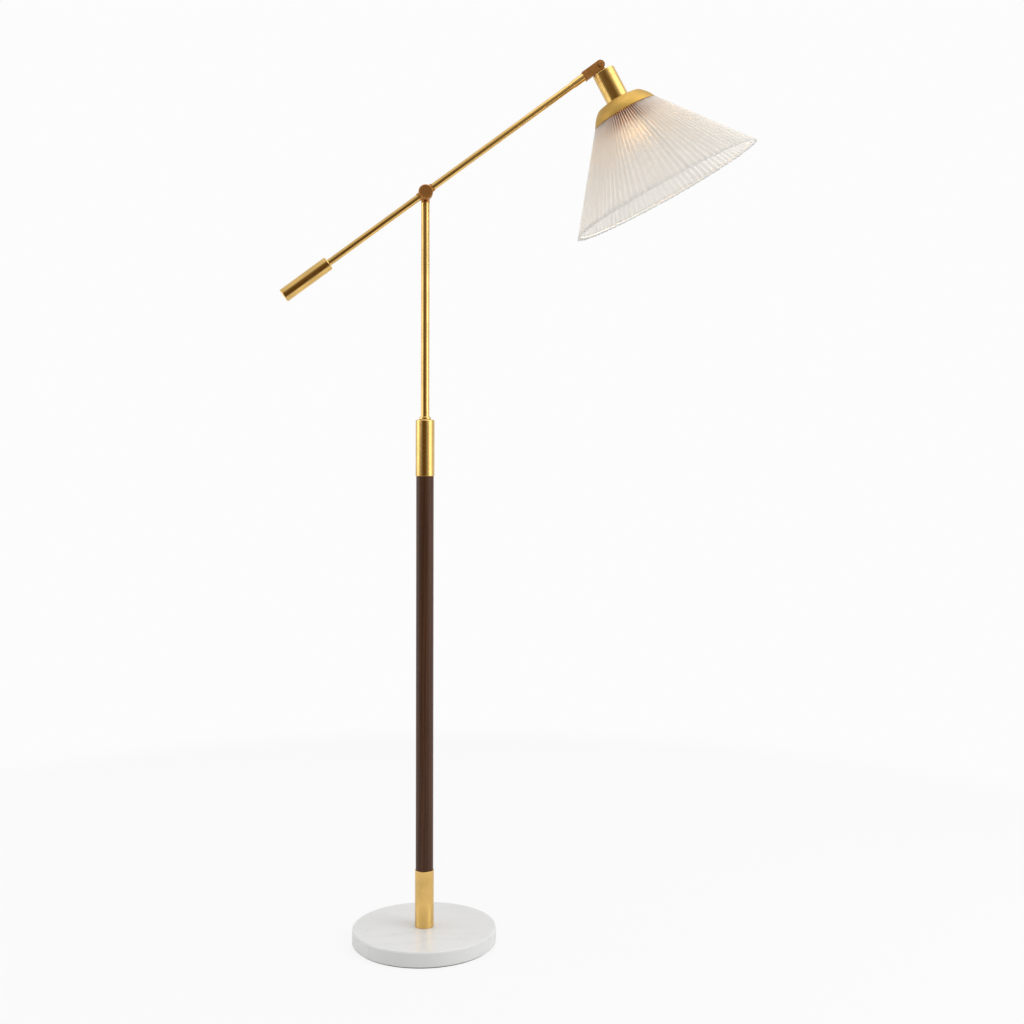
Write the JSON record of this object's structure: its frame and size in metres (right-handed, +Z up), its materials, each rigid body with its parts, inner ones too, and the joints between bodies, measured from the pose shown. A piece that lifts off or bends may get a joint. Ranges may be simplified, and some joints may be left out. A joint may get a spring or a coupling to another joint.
{
  "type": "bridge floor lamp",
  "caption": "Bridge floor lamp: marble disc foot, walnut column with brass ferrules, swivelling brass post and a counterweighted arm with a tilting pleated cone shade.",
  "frame": {"origin": "on the floor under the centre of the round foot", "axes": "+Z up along the column, +X towards the lamp head at rest, +Y to the back"},
  "size_m": [0.8428, 0.361, 1.5665],
  "materials": {
    "felt": "dense felt",
    "marble": "honed white marble with faint grey veins",
    "steel": "zinc plated",
    "black_plastic": "moulded",
    "brass": "satin brushed and lacquered",
    "walnut": "oiled, fine straight grain",
    "nylon": "turned nylon",
    "fibre": "vulcanised fibre",
    "bronze": "dark bronze patina, satin",
    "porcelain": "glazed inside, matt outside",
    "wire_white": "white enamel",
    "pleated_cloth": "pleated cloth bonded to a clear liner, translucent",
    "bulb_cap": "rolled screw cap",
    "bulb_glass": "opal glass, lit"
  },
  "bodies": {
    "stand": {"base_pad": "felt", "marble_base": "marble", "clamp_washer": "steel", "base_nut": "steel", "cord_bushing": "black_plastic", "tie_tube": "steel", "lower_ferrule": "brass", "walnut_column": "walnut", "upper_ferrule": "brass", "swivel_bushing": "nylon", "swivel_washer": "nylon", "swivel_screw": "steel"},
    "post": {"slim_post": "brass", "post_collar": "brass", "post_head": "bronze"},
    "arm": {"arm_block": "bronze", "friction_washer": "fibre", "pivot_nut": "bronze", "arm_tube": "brass", "counterweight": "brass", "counterweight_screw": "steel", "arm_end_sleeve": "brass", "knuckle_arm_half": "bronze", "knuckle_screw": "bronze", "knuckle_nut": "bronze"},
    "head": {"knuckle_head_half": "bronze", "cap_lock_nut": "steel", "socket_cap": "brass", "socket_cup": "brass", "lampholder": "porcelain", "screw_shell": "brass", "centre_contact": "brass", "shade_holder": "brass", "holder_ring_nut": "brass", "shade_spider": "wire_white", "shade_top_ring": "wire_white", "shade_mouth_ring": "wire_white", "shade_ribs": "wire_white", "pleated_shade": "pleated_cloth", "bulb_cap": "bulb_cap", "bulb_glass": "bulb_glass"}
  },
  "joints": [
    {"name": "arm_swing", "type": "hinge", "parent": "stand", "child": "post", "pos_m": [0, 0, 0.925], "axis": [0, 0, 1], "range_deg": [-150, 150]},
    {"name": "arm_tilt", "type": "hinge", "parent": "post", "child": "arm", "pos_m": [0, -0.0157, 1.325], "axis": [0, -1, 0], "range_deg": [-55, 40]},
    {"name": "head_tilt", "type": "hinge", "parent": "arm", "child": "head", "pos_m": [0.30987, -0.0157, 1.5585], "axis": [0, -1, 0], "range_deg": [-3, 85]}
  ]
}
